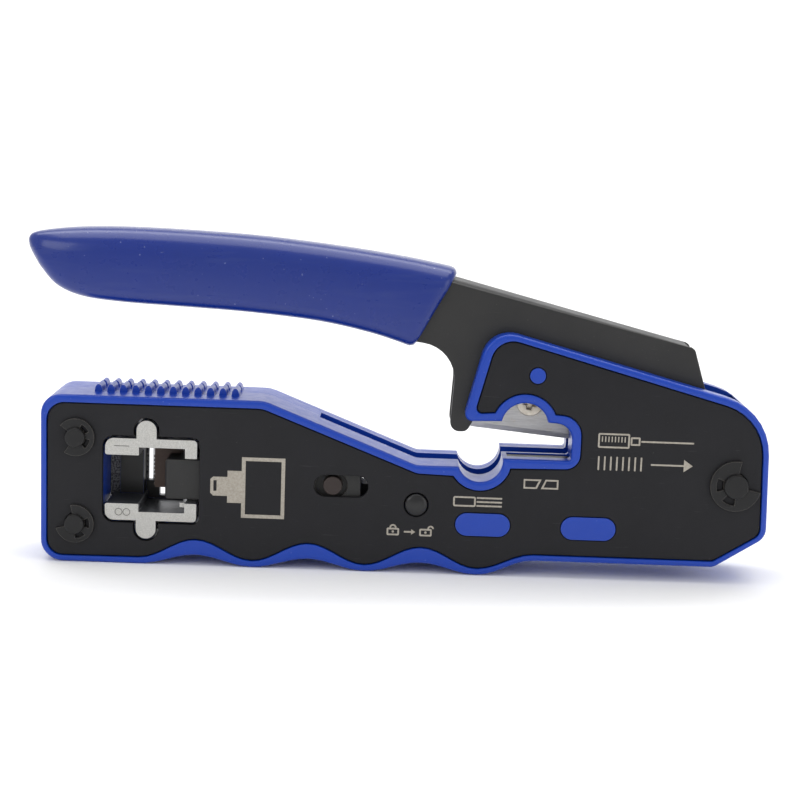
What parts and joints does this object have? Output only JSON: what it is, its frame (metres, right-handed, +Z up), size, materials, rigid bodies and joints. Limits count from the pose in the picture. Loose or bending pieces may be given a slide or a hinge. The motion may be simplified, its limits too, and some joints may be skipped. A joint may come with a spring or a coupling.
{
  "type": "modular plug crimping tool",
  "caption": "Hand crimper for pass-through modular plugs, with a sprung handle, a sliding ram, a cable cutting channel, a stripping notch and a push-through lock.",
  "frame": {"origin": "under the middle of the tool's bounding box, on the plane of its lowest edge", "axes": "+X towards the end with the main pivot, -Y out of the face with the nest, lock button and clips, +Z up through the handle"},
  "size_m": [0.1849, 0.025, 0.0829],
  "materials": {
    "plate": "black oxide, satin",
    "shell": "fine satin moulding",
    "die": "cast and machined zinc alloy",
    "black_plastic": "satin",
    "black_steel": "black oxide, satin",
    "spring_steel": "oiled",
    "blade_steel": "ground",
    "screw_steel": "nickel plated",
    "grip": "smooth dipped vinyl",
    "tool_steel": "blackened tool steel"
  },
  "bodies": {
    "body": {"front_plate": "plate", "rear_plate": "plate", "front_shell": "shell", "rear_shell": "shell", "die_block": "die", "wire_guide": "black_plastic", "anvil_strip": "black_plastic", "pivot_pin": "black_steel", "pivot_clip": "black_steel", "upper_end_pin": "black_steel", "upper_end_clip": "black_steel", "lower_end_pin": "black_steel", "lower_end_clip": "black_steel", "return_spring": "spring_steel"},
    "handle": {"handle_arm": "black_steel", "blade_carrier": "black_steel", "cutter_blade": "blade_steel", "blade_screw": "screw_steel", "carrier_rivets": "spring_steel", "pivot_spacer": "spring_steel", "grip_sleeve": "grip", "drive_pin": "spring_steel"},
    "ram": {"crimp_ram": "tool_steel", "crimp_punch": "tool_steel", "trim_blade": "blade_steel", "slide_pin": "tool_steel", "push_bar": "tool_steel"},
    "lock": {"lock_bolt": "black_plastic", "lock_cap": "black_plastic"}
  },
  "joints": [
    {"name": "handle_hinge", "type": "hinge", "parent": "body", "child": "handle", "pos_m": [0.084, 0, 0.025], "axis": [0, -1, 0], "range_deg": [0, 6.5], "stiffness_Nm_per_rad": 1.25, "springref_deg": -13.18},
    {"name": "ram_slide", "type": "slide", "parent": "body", "child": "ram", "axis": [-1, 0, 0], "range_m": [0, 0.002], "deforming": ["return_spring"]},
    {"name": "lock_slide", "type": "slide", "parent": "body", "child": "lock", "axis": [0, 1, 0], "range_m": [0, 0.002]}
  ],
  "couplings": [
    {"joint": "ram_slide", "follows": "handle_hinge", "m_per_rad": 0.017629}
  ]
}
